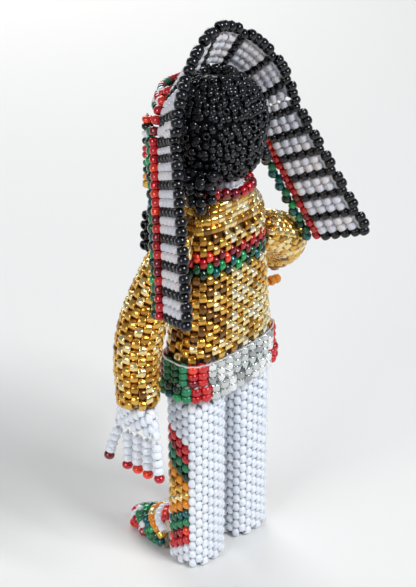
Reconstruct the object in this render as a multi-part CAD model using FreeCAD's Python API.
import FreeCAD, Part
import math
import os

# Woven glass-bead figure with a feather headdress, standing on both feet.
# Units are millimetres. +Z is up, the figure faces -Y and its left side is +X.
# The origin lies on the ground between the ankles.

V = FreeCAD.Vector
os.makedirs("parts", exist_ok=True)

# ---------------------------------------------------------------- driving sizes
BEAD_D = 2.0          # outside diameter of a seed bead
BEAD_L = 1.42         # length of a seed bead along its hole
BEAD_HOLE_R = 0.42    # radius of the hole through a bead
BEAD_ROUND = 0.45     # rounding of a bead's rim
BEAD_AIR = 0.02       # air between neighbouring beads on a thread
THREAD_R = 0.2        # radius of the sewing thread
WALL = 1.9            # thickness of a woven wall, one bead
FIT_GAP = 0.05        # air between a stuffing core and the weave round it
SEAM = 0.02           # hairline between two woven panels sewn edge to edge
BEYOND = 1.0          # how far a cutting shape reaches past what it cuts
FAR = 60.0            # reach of a cutting box that is open on one side
SIDES = (1, -1)       # figure's left side first, then its right side
SIDE_NAME = {1: "left", -1: "right"}

# legs and feet
LEG_X = 6.15          # centre of each leg from the middle
LEG_HALF_X = 4.95
LEG_HALF_Y = 4.4
LEG_SQUARENESS = 2.8
LEG_TOP = 34.6
SOLE_T = 1.9          # thickness of the woven sole of each leg
STRIPE_X = 3.2        # stripe begins this far outward of the leg's centre
STRIPE_Y = (-3.6, 2.6)
STRIPE_Z = (5.2, 31.5)
FOOT_STATIONS = (     # place along the foot, half width, height
    (-2.0, 4.25, 9.4),
    (-6.5, 4.25, 8.2),
    (-10.0, 3.75, 6.3),
    (-13.2, 3.05, 4.9),
    (-15.9, 1.65, 3.2),
)
FOOT_SHOULDER = 0.45  # share of the foot's height that its sides stand upright

# seat, belt and torso
SEAT_TOP = 39.2
SEAT_HALF = (10.55, 4.4)
BELT_TIER_Z = (36.4, 39.3, 43.4)
BELT_LOWER = (12.9, 6.5)
BELT_UPPER = (12.4, 6.1)
BELT_INNER = (10.7, 4.45)
BELT_SQUARENESS = 3.0
BELT_BLOCK_X = 8.7    # the coloured side blocks lie outward of this
TORSO_SQUARENESS = 2.9
TORSO_SECTIONS = (    # height, half width, half depth
    (43.4, 11.5, 5.6),
    (47.0, 10.7, 5.7),
    (51.5, 10.1, 5.6),
    (56.0, 9.7, 5.4),
    (60.0, 9.5, 5.2),
    (64.0, 9.4, 5.0),
    (67.5, 9.1, 4.9),
    (70.0, 7.6, 4.7),
    (71.8, 5.4, 4.6),
)
BAND_Z = (59.0, 63.1)
SECTION_ROOM = 0.6    # least distance between a cut end and the next section
CORE_DROP = 0.2       # how far the torso stuffing stays under the top of the shirt
OPEN_END = 0.5        # how far a hollow's end stands past an open edge
FOOT_CORE = (8.0, 2.6)  # half sizes of the stuffing's lower end inside the belt

# arms
SHOULDER_FACE_X = 10.1
LEFT_ARM_PATH = ((9.0, 0.4, 66.4), (11.3, -0.6, 63.7), (13.5, -2.1, 58.3), (16.0, -3.2, 51.5),
                 (17.8, -3.0, 44.3), (18.6, -2.3, 37.4))
RIGHT_ARM_PATH = ((9.0, 0.2, 61.4), (11.8, -0.4, 60.2), (15.8, -0.9, 58.2), (20.2, -1.9, 55.3),
                  (22.6, -4.6, 52.0), (22.8, -7.8, 49.3))
ARM_RADII = (3.3, 3.6, 3.95, 4.2, 4.1, 3.8)
LEFT_HAND_RUN = (0.10, 0.06, -1.0)     # direction from the cuff towards the fingers
RIGHT_HAND_RUN = (-0.35, -0.75, -0.56)
PALM_STATIONS = (     # distance from the cuff, half width, half thickness
    (0.1, 3.6, 2.9),
    (2.6, 4.8, 1.9),
    (5.3, 5.3, 1.15),
)
FINGER_COUNT = 5
FINGER_BEADS = 5
FINGER_PITCH = 2.3                     # spacing of the strands across the hand
FINGER_ROOT = 5.95                     # distance from the cuff to the first bead
FINGER_SPLAY = (-0.10, -0.04, -0.02, 0.0, 0.38)     # sideways lean of each strand

# neck and head
NECK_R = 4.1
NECK_Z = (71.8, 75.6)
NECK_BORE_R = 2.2
COLLAR_R = 5.25
COLLAR_Z = 72.95
COLLAR_BEADS = 20
HEAD_Y = -1.2
HEAD_SQUARENESS = 2.1
HEAD_SECTIONS = (     # height, half width, half depth
    (74.4, 5.9, 5.6),
    (76.6, 7.5, 7.3),
    (80.0, 8.4, 8.4),
    (84.5, 8.6, 8.7),
    (88.0, 7.5, 7.6),
    (90.4, 5.7, 5.8),
    (92.0, 3.1, 3.2),
)
HEAD_BORE_R = 4.35    # the head sits round the neck with this bore
HEAD_BORE_TOP = 76.2
FACE_HALF_X = 6.3
FACE_BACK_Y = -5.2
FACE_Z = (75.4, 85.6)
SCALP_GROW = 0.9      # how much the hollow's lowest outline is widened, because it lies higher up
SCALP_DROP = 0.3      # how far the hollow's top lies under the highest full outline
FEATURE_D = 1.5       # beads of the eyes, brows, nose and mouth
FEATURE_L = 1.1
EYE_X = 2.5
EYE_Z = 81.2
BROW_Z = 83.25
NOSE_Z = 79.3
MOUTH_Z = 77.45
FEATURE_ARCH = 0.12   # fall of the brows and rise of the mouth for each millimetre outward
FEATURE_PITCH = 1.15
CHEEK_EASE = 0.08     # how much further out a bead lies for each millimetre from the middle
HEADBAND_SECTIONS = (  # height, half width, half depth
    (85.9, 10.2, 10.4),
    (87.85, 9.6, 9.8),
    (89.8, 8.7, 8.9),
)
HEADBAND_BACK_Y = -5.2

# headdress: an upright fan over the head that runs on into two side wings
FAN_T = 1.8
FAN_INNER = (11.6, 82.0, 10.7)     # half width, springing height, rise
FAN_OUTER = (14.8, 85.2, 14.7)
FAN_INNER_Y = (-3.2, -2.6)         # at the top, at the wing seam
FAN_OUTER_Y = (0.2, 3.9)
FAN_STEPS = 14
FAN_ROUND = 1.0                    # power of the inner edge, an ellipse
FAN_POINTED = 1.25                 # power of the outer edge, which is more pointed
FAN_LEAN = 2.2                     # power of the backward lean from the top to the seam
WING_INNER_END = (19.9, 5.3, 56.9)
WING_OUTER_END = (24.2, 14.7, 59.7)
WING_GAP = 0.3                     # seam between fan and wing, along the strip
TRIM_SHARE = 0.3                   # share of the strip's width that is red and green trim
TRIM_SEAM = 0.002                  # half the hairline between trim and field, as a share of the width

# side drops, hair locks and the strand in the right hand
DROP_X = 9.6
DROP_Y = -7.2
DROP_TOP = 85.6
DROP_BEADS = 10
DROP_PITCH = 1.25
LOCK_PATH = (
    (6.2, -6.3, 73.6),
    (6.5, -7.7, 70.0),
    (6.7, -8.6, 65.8),
    (6.8, -8.9, 61.6),
    (6.9, -8.8, 57.5),
)
LOCK_WIDTHS = (3.4, 4.6, 5.2, 4.6, 2.6)
LOCK_T = 1.9
STRAND_BEADS = 7
STRAND_START = (-24.3, -6.0, 43.9)     # outer end of the strand under the right hand
STRAND_RUN = (0.985, -0.15, 0.05)


# ---------------------------------------------------------------- shape helpers
def export(shape, name):
    """Write one node as a STEP file and report its solids."""
    solids = shape.Solids
    print("%-26s solids %3d volume %9.2f valid %s" % (name, len(solids), shape.Volume, shape.isValid()))
    shape.exportStep("parts/%s.step" % name)


def group(solids):
    """Join separate solids into one node without fusing them."""
    return solids[0] if len(solids) == 1 else Part.makeCompound(solids)


def oval(center, half_x, half_y, z, squareness, points=28):
    """Closed smooth outline in a level plane, between an ellipse and a rounded box."""
    power = 2.0 / squareness
    places = []
    for i in range(points):
        a = 2.0 * math.pi * i / points
        c = math.cos(a)
        s = math.sin(a)
        x = center[0] + half_x * math.copysign(abs(c) ** power, c)
        y = center[1] + half_y * math.copysign(abs(s) ** power, s)
        places.append(V(x, y, z))
    curve = Part.BSplineCurve()
    curve.interpolate(Points=places, PeriodicFlag=True)
    return Part.Wire([curve.toShape()])


def stacked(center, sections, squareness, inset=0.0):
    """Solid lofted through level outlines given as (height, half width, half depth)."""
    wires = [oval(center, hx - inset, hy - inset, z, squareness) for z, hx, hy in sections]
    return Part.makeLoft(wires, True, False)


def section_at(sections, z):
    """Section at a height, by straight interpolation between its neighbours."""
    for below, above in zip(sections, sections[1:]):
        if below[0] <= z <= above[0]:
            return mixed(below, above, (z - below[0]) / (above[0] - below[0]))
    return (z, sections[-1][1], sections[-1][2])


def sections_between(sections, low, high):
    """The part of a stack of sections between two heights."""
    middle = [s for s in sections if low + SECTION_ROOM < s[0] < high - SECTION_ROOM]
    return [section_at(sections, low)] + middle + [section_at(sections, high)]


def stretched(sections, reach):
    """Stack of sections whose two ends are moved outward by a reach."""
    first = (sections[0][0] - reach,) + tuple(sections[0][1:])
    last = (sections[-1][0] + reach,) + tuple(sections[-1][1:])
    return [first] + list(sections[1:-1]) + [last]


def slab(x0, x1, y0, y1, z0, z1):
    """Box between two corners."""
    return Part.makeBox(x1 - x0, y1 - y0, z1 - z0, V(x0, y0, z0))


def tube_along(path, radii):
    """Round solid lofted through circles set square to a path."""
    wires = []
    for i, p in enumerate(path):
        before = V(*path[max(i - 1, 0)])
        after = V(*path[min(i + 1, len(path) - 1)])
        circle = Part.Circle(V(*p), after.sub(before).normalize(), radii[i])
        wires.append(Part.Wire([circle.toShape()]))
    return Part.makeLoft(wires, True, False)


def bead(center, direction, diameter=BEAD_D, length=BEAD_L):
    """One glass bead: a short rounded ring with a hole along its direction."""
    scale = diameter / BEAD_D
    r = diameter / 2.0
    h = length / 2.0
    k = BEAD_ROUND * scale
    hole = BEAD_HOLE_R * scale
    bow = k * (1.0 - math.sin(math.pi / 4.0))
    low = V(hole, 0, -h)
    profile = [
        Part.LineSegment(low, V(r - k, 0, -h)).toShape(),
        Part.Arc(V(r - k, 0, -h), V(r - bow, 0, -h + bow), V(r, 0, -h + k)).toShape(),
        Part.LineSegment(V(r, 0, -h + k), V(r, 0, h - k)).toShape(),
        Part.Arc(V(r, 0, h - k), V(r - bow, 0, h - bow), V(r - k, 0, h)).toShape(),
        Part.LineSegment(V(r - k, 0, h), V(hole, 0, h)).toShape(),
        Part.LineSegment(V(hole, 0, h), low).toShape(),
    ]
    solid = Part.Face(Part.Wire(profile)).revolve(V(0, 0, 0), V(0, 0, 1), 360)
    solid.Placement = FreeCAD.Placement(V(*center), FreeCAD.Rotation(V(0, 0, 1), V(*direction)))
    return solid


def strung(start, direction, count, pitch=BEAD_L + BEAD_AIR):
    """Beads in a straight row on one thread, with the thread itself."""
    step = V(*direction).normalize()
    origin = V(*start)
    length = pitch - BEAD_AIR
    beads = [bead(origin + step * (pitch * (i + 0.5)), step, BEAD_D, length) for i in range(count)]
    thread = Part.makeCylinder(THREAD_R, pitch * count + 2 * THREAD_R, origin - step * THREAD_R, step)
    return beads + [thread]


def mirrored(point, side):
    """A point on the figure's left side, moved to the side asked for."""
    return (point[0] * side, point[1], point[2])


def mixed(p, q, t):
    """Point a share t of the way from p to q."""
    return tuple(a + (b - a) * t for a, b in zip(p, q))


# ---------------------------------------------------------------- legs and feet
def leg_outer(side, low=0.0, inset=0.0, top=LEG_TOP):
    sections = [(z, LEG_HALF_X, LEG_HALF_Y) for z in (low, (low + top) / 2.0, top)]
    return stacked((LEG_X * side, 0), sections, LEG_SQUARENESS, inset)


def stripe_zone(side, grow):
    inner = side * (LEG_X + STRIPE_X) - side * grow
    outer = side * (LEG_X + LEG_HALF_X + BEYOND)
    return slab(min(inner, outer), max(inner, outer), STRIPE_Y[0] - grow, STRIPE_Y[1] + grow,
                STRIPE_Z[0] - grow, STRIPE_Z[1] + grow)


def make_legs():
    for side in SIDES:
        name = SIDE_NAME[side]
        wall = leg_outer(side).cut(leg_outer(side, SOLE_T, WALL, LEG_TOP + OPEN_END))
        export(wall.cut(stripe_zone(side, 0.0)), name + "_leg")
        export(wall.common(stripe_zone(side, -SEAM)), name + "_leg_stripe")
        filling = leg_outer(side, SOLE_T + FIT_GAP, WALL + FIT_GAP, LEG_TOP - 2 * FIT_GAP)
        export(filling, name + "_leg_stuffing")


def foot_solid(side, inset):
    """Moccasin body: arched sections over a flat sole, narrowing to a rounded toe."""
    used = FOOT_STATIONS if inset == 0.0 else FOOT_STATIONS[:-1]
    x = LEG_X * side
    wires = []
    for y, half, height in used:
        w = half - inset
        top = height - inset
        shoulder = inset + (top - inset) * FOOT_SHOULDER
        corners = [V(x + w, y, shoulder), V(x + w, y, inset), V(x - w, y, inset), V(x - w, y, shoulder)]
        arch = Part.Arc(corners[3], V(x, y, top), corners[0]).toShape()
        edges = [Part.LineSegment(a, b).toShape() for a, b in zip(corners, corners[1:])]
        wires.append(Part.Wire([arch] + edges))
    return Part.makeLoft(wires, True, False)


def make_shoes():
    for side in SIDES:
        name = SIDE_NAME[side]
        clear_of_leg = leg_outer(side, -BEYOND, -FIT_GAP)
        outer = foot_solid(side, 0.0).cut(clear_of_leg)
        cavity = foot_solid(side, WALL).cut(clear_of_leg)
        shell = outer.cut(cavity)
        filling = foot_solid(side, WALL + FIT_GAP).cut(leg_outer(side, -BEYOND, -2 * FIT_GAP))
        export(group(shell.Solids), name + "_moccasin")
        export(group(filling.Solids), name + "_moccasin_stuffing")


# ---------------------------------------------------------------- seat, belt, torso
def level_ring(outer, inner, z0, z1, squareness):
    body = stacked((0, 0), [(z, outer[0], outer[1]) for z in (z0, z1)], squareness)
    hole = stacked((0, 0), [(z, inner[0], inner[1]) for z in (z0 - BEYOND, z1 + BEYOND)], squareness)
    return body.cut(hole)


def make_seat():
    """Woven crotch that joins the two trouser legs under the belt."""
    sections = [(z, SEAT_HALF[0], SEAT_HALF[1]) for z in (LEG_TOP, SEAT_TOP)]
    export(stacked((0, 0), sections, BELT_SQUARENESS), "trouser_seat")


def make_belt():
    """Two tiers of standing beads; the lower tier stands a little proud."""
    z0, z1, z2 = BELT_TIER_Z
    lower = level_ring(BELT_LOWER, BELT_INNER, z0, z1, BELT_SQUARENESS)
    upper = level_ring(BELT_UPPER, BELT_INNER, z1, z2 - SEAM, BELT_SQUARENESS)
    ring = lower.fuse(upper).removeSplitter()
    x = BELT_BLOCK_X
    zones = {
        "belt_crystal_back": slab(-x, x, 0, FAR, 0, FAR),
        "belt_crystal_front": slab(-x, x, -FAR, 0, 0, FAR),
        "belt_left_block": slab(x, FAR, -FAR, FAR, 0, FAR),
        "belt_right_block": slab(-FAR, -x, -FAR, FAR, 0, FAR),
    }
    for name, zone in zones.items():
        export(group(ring.common(zone).Solids), name)


def torso_piece(low, high):
    """Tube of weave between two heights of the torso."""
    sections = sections_between(TORSO_SECTIONS, low, high)
    outer = stacked((0, 0), sections, TORSO_SQUARENESS)
    return outer.cut(stacked((0, 0), stretched(sections, OPEN_END), TORSO_SQUARENESS, WALL))


def make_torso():
    bottom = TORSO_SECTIONS[0][0]
    top = TORSO_SECTIONS[-1][0]
    export(torso_piece(bottom, BAND_Z[0] - SEAM), "shirt_body")
    export(torso_piece(BAND_Z[0], BAND_Z[1]), "chest_band")
    export(torso_piece(BAND_Z[1] + SEAM, top), "shirt_yoke")
    sections = sections_between(TORSO_SECTIONS, bottom, top - CORE_DROP)
    core = stacked((0, 0), sections, TORSO_SQUARENESS, WALL + 2 * FIT_GAP)
    foot = slab(-FOOT_CORE[0], FOOT_CORE[0], -FOOT_CORE[1], FOOT_CORE[1], SEAT_TOP + FIT_GAP, bottom + WALL)
    plug_low = top - CORE_DROP - FIT_GAP * 2
    plug = Part.makeCylinder(NECK_BORE_R - FIT_GAP, NECK_Z[1] - CORE_DROP - plug_low, V(0, 0, plug_low))
    export(core.fuse([foot, plug]).removeSplitter(), "torso_stuffing")


# ---------------------------------------------------------------- arms and hands
def arm_solid(path, side, inset):
    places = [mirrored(p, side) for p in path]
    body = tube_along(places, [r - inset for r in ARM_RADII])
    face = SHOULDER_FACE_X + inset
    return body.common(slab(face, FAR, -FAR, FAR, 0, 2 * FAR) if side > 0
                       else slab(-FAR, -face, -FAR, FAR, 0, 2 * FAR))


def palm(wrist, along, across):
    """Flat woven hand, widening from the cuff to the roots of the fingers."""
    normal = along.cross(across).normalize()
    wires = []
    for distance, half_wide, half_thick in PALM_STATIONS:
        c = wrist + along * distance
        ellipse = Part.Ellipse(c + across * half_wide, c + normal * half_thick, c)
        wires.append(Part.Wire([ellipse.toShape()]))
    return Part.makeLoft(wires, True, False)


def make_arm(side, path, hand_run, sideways):
    """Sleeve with its stuffing, the hand, and five finger strands hung from the hand."""
    name = SIDE_NAME[side]
    sleeve = arm_solid(path, side, 0.0).cut(arm_solid(path, side, WALL))
    export(group(sleeve.Solids), name + "_sleeve")
    export(arm_solid(path, side, WALL + FIT_GAP), name + "_arm_stuffing")
    wrist = V(*mirrored(path[-1], side))
    along = V(*mirrored(hand_run, side)).normalize()
    across = V(*sideways).cross(along).normalize()
    hand = palm(wrist, along, across).cut(arm_solid(path, side, -FIT_GAP))
    export(max(hand.Solids, key=lambda s: s.Volume), name + "_hand")
    middle = (FINGER_COUNT - 1) / 2.0
    for i in range(FINGER_COUNT):
        root = wrist + along * FINGER_ROOT + across * ((i - middle) * FINGER_PITCH)
        lean = (along + across * FINGER_SPLAY[i]).normalize()
        export(group(strung(tuple(root), tuple(lean), FINGER_BEADS)), "%s_finger_%d" % (name, i + 1))


def make_arms():
    make_arm(1, LEFT_ARM_PATH, LEFT_HAND_RUN, (-1, 0, 0))
    make_arm(-1, RIGHT_ARM_PATH, RIGHT_HAND_RUN, (0, 0, 1))
    export(group(strung(STRAND_START, STRAND_RUN, STRAND_BEADS)), "held_strand")


# ---------------------------------------------------------------- neck and head
def make_neck():
    low, high = NECK_Z
    tube = Part.makeCylinder(NECK_R, high - low, V(0, 0, low))
    bore = Part.makeCylinder(NECK_BORE_R, high - low + 2 * BEYOND, V(0, 0, low - BEYOND))
    export(tube.cut(bore), "neck")
    beads = []
    for i in range(COLLAR_BEADS):
        a = 2.0 * math.pi * i / COLLAR_BEADS
        center = (COLLAR_R * math.cos(a), COLLAR_R * math.sin(a), COLLAR_Z)
        beads.append(bead(center, (-math.sin(a), math.cos(a), 0)))
    export(group(beads), "bead_collar")


def make_head():
    """Hair and face are one woven shell round a stuffed core that sits on the neck."""
    outer = stacked((0, HEAD_Y), HEAD_SECTIONS, HEAD_SQUARENESS)
    low, half_x, half_y = HEAD_SECTIONS[0]
    top, top_x, top_y = HEAD_SECTIONS[-2]
    inner_sections = [(low + WALL, half_x + SCALP_GROW, half_y + SCALP_GROW)]
    inner_sections += HEAD_SECTIONS[1:-2]
    inner_sections += [(top - SCALP_DROP, top_x, top_y)]
    cavity = stacked((0, HEAD_Y), inner_sections, HEAD_SQUARENESS, WALL)
    bore = Part.makeCylinder(HEAD_BORE_R, HEAD_BORE_TOP - low + BEYOND, V(0, 0, low - BEYOND))
    wall = outer.cut(cavity).cut(bore)
    export(group(wall.cut(face_zone(0.0)).Solids), "hair_cap")
    export(group(wall.common(face_zone(SEAM)).Solids), "face")
    core = stacked((0, HEAD_Y), inner_sections, HEAD_SQUARENESS, WALL + FIT_GAP).cut(bore)
    export(group(core.Solids), "head_stuffing")
    make_features(outer)
    make_headband()


def face_zone(inset):
    """Box that holds the face panel."""
    half = FACE_HALF_X - inset
    return slab(-half, half, -FAR, FACE_BACK_Y - inset, FACE_Z[0] + inset, FACE_Z[1] - inset)


def face_front(outer, x, z):
    """How far forward the face's outside lies, straight ahead of (x, z)."""
    probe = Part.LineSegment(V(x, -FAR, z), V(x, HEAD_Y, z)).toShape().common(outer)
    return min(v.Y for v in probe.Vertexes)


def make_features(outer):
    """Eyes, brows, nose and mouth of small beads sewn on the face's outside."""
    lift = FEATURE_D / 2.0 + FIT_GAP
    triple = (-FEATURE_PITCH, 0.0, FEATURE_PITCH)
    rows = {
        "eyes": [(side * EYE_X, EYE_Z) for side in SIDES],
        "brows": [(side * (EYE_X + k), BROW_Z - FEATURE_ARCH * abs(k)) for side in SIDES for k in triple],
        "nose": [(0.0, NOSE_Z)],
        "mouth": [(k, MOUTH_Z + FEATURE_ARCH * abs(k)) for k in triple],
    }
    for name, places in rows.items():
        beads = []
        for x, z in places:
            y = face_front(outer, x, z) - lift - CHEEK_EASE * abs(x)
            beads.append(bead((x, y, z), (1, 0, 0), FEATURE_D, FEATURE_L))
        export(group(beads), name)


def make_headband():
    """Beaded band over the forehead, open at the back where the fan stands."""
    outer = stacked((0, HEAD_Y), HEADBAND_SECTIONS, HEAD_SQUARENESS)
    scalp = stacked((0, HEAD_Y), HEAD_SECTIONS, HEAD_SQUARENESS, -2 * FIT_GAP)
    band = outer.cut(scalp).common(slab(-FAR, FAR, -FAR, HEADBAND_BACK_Y, 0, 2 * FAR))
    export(group(band.Solids), "headband")


# ---------------------------------------------------------------- headdress
def fan_point(profile, y_pair, angle, power):
    """Point on the fan's inner or outer edge; angle 0 is the top, a right angle the seam."""
    half, spring, rise = profile
    s = math.sin(angle)
    y = y_pair[0] + (y_pair[1] - y_pair[0]) * abs(s) ** FAN_LEAN
    x = half * math.copysign(abs(s) ** power, s)
    return (x, y, spring + rise * abs(math.cos(angle)) ** power)


def fan_inner(angle):
    return fan_point(FAN_INNER, FAN_INNER_Y, angle, FAN_ROUND)


def fan_outer(angle):
    return fan_point(FAN_OUTER, FAN_OUTER_Y, angle, FAN_POINTED)


def strip_section(inner, outer, along, t):
    """Flat rectangle of the strip between two edge points, square to its run."""
    a = V(*inner)
    b = V(*outer)
    normal = V(*along).cross(b.sub(a)).normalize() * (t / 2.0)
    return Part.makePolygon([a + normal, b + normal, b - normal, a - normal, a + normal])


def strip(stations, t=FAN_T):
    """Solid strip through (inner, outer, run direction) stations."""
    return Part.makeLoft([strip_section(i, o, d, t) for i, o, d in stations], True, True)


def wing_ends(side):
    quarter = math.pi / 2.0
    inner = mirrored(fan_inner(quarter), side)
    outer = mirrored(fan_outer(quarter), side)
    return inner, outer, mirrored(WING_INNER_END, side), mirrored(WING_OUTER_END, side)


def make_fan():
    """Upright part of the headdress, sewn to the headband and the top of the hair."""
    stations = []
    limit = math.pi / 2.0
    for i in range(-FAN_STEPS, FAN_STEPS + 1):
        a = limit * i / FAN_STEPS
        stations.append((fan_inner(a), fan_outer(a), (math.cos(a), 0.0, -math.sin(a))))
    export(strip(stations), "headdress_fan")


def make_wing(side):
    """Hanging side of the headdress: feather field outside, bead trim inside."""
    name = SIDE_NAME[side]
    inner0, outer0, inner1, outer1 = wing_ends(side)
    run = tuple((V(*inner1) + V(*outer1) - V(*inner0) - V(*outer0)).normalize())
    start = WING_GAP / V(*inner1).sub(V(*inner0)).Length
    tops = (mixed(inner0, inner1, start), mixed(outer0, outer1, start))
    ends = (inner1, outer1)
    shares = {"_wing_trim": (0.0, TRIM_SHARE - TRIM_SEAM), "_wing": (TRIM_SHARE + TRIM_SEAM, 1.0)}
    for node, (low, high) in shares.items():
        stations = []
        for t in (0.0, 0.5, 1.0):
            a = mixed(tops[0], ends[0], t)
            b = mixed(tops[1], ends[1], t)
            stations.append((mixed(a, b, low), mixed(a, b, high), run))
        export(strip(stations), name + node)


# ---------------------------------------------------------------- drops and locks
def make_drop(side):
    """Straight string of beads that hangs from the headband beside the face."""
    start = (DROP_X * side, DROP_Y, DROP_TOP)
    export(group(strung(start, (0, 0, -1), DROP_BEADS, DROP_PITCH)), SIDE_NAME[side] + "_side_drop")


def make_lock(side):
    """Flat beaded hair lock that falls over the shoulder onto the chest."""
    stations = []
    for i, p in enumerate(LOCK_PATH):
        before = V(*LOCK_PATH[max(i - 1, 0)])
        after = V(*LOCK_PATH[min(i + 1, len(LOCK_PATH) - 1)])
        run = after.sub(before).normalize()
        run = V(run.x * side, run.y, run.z)
        half = LOCK_WIDTHS[i] / 2.0
        c = V(*mirrored(p, side))
        stations.append((tuple(c - V(half, 0, 0)), tuple(c + V(half, 0, 0)), tuple(run)))
    export(strip(stations, LOCK_T), SIDE_NAME[side] + "_hair_lock")
    tip = mirrored(LOCK_PATH[-1], side)
    z = tip[2] - BEAD_D / 2.0 - 2 * FIT_GAP
    reach = (BEAD_L + BEAD_AIR) / 2.0
    beads = [bead((tip[0] + dx, tip[1], z), (1, 0, 0)) for dx in (-reach, reach)]
    export(group(beads), SIDE_NAME[side] + "_lock_tie")


make_legs()
make_shoes()
make_seat()
make_belt()
make_torso()
make_arms()
make_neck()
make_head()
make_fan()
for which in SIDES:
    make_wing(which)
    make_drop(which)
    make_lock(which)
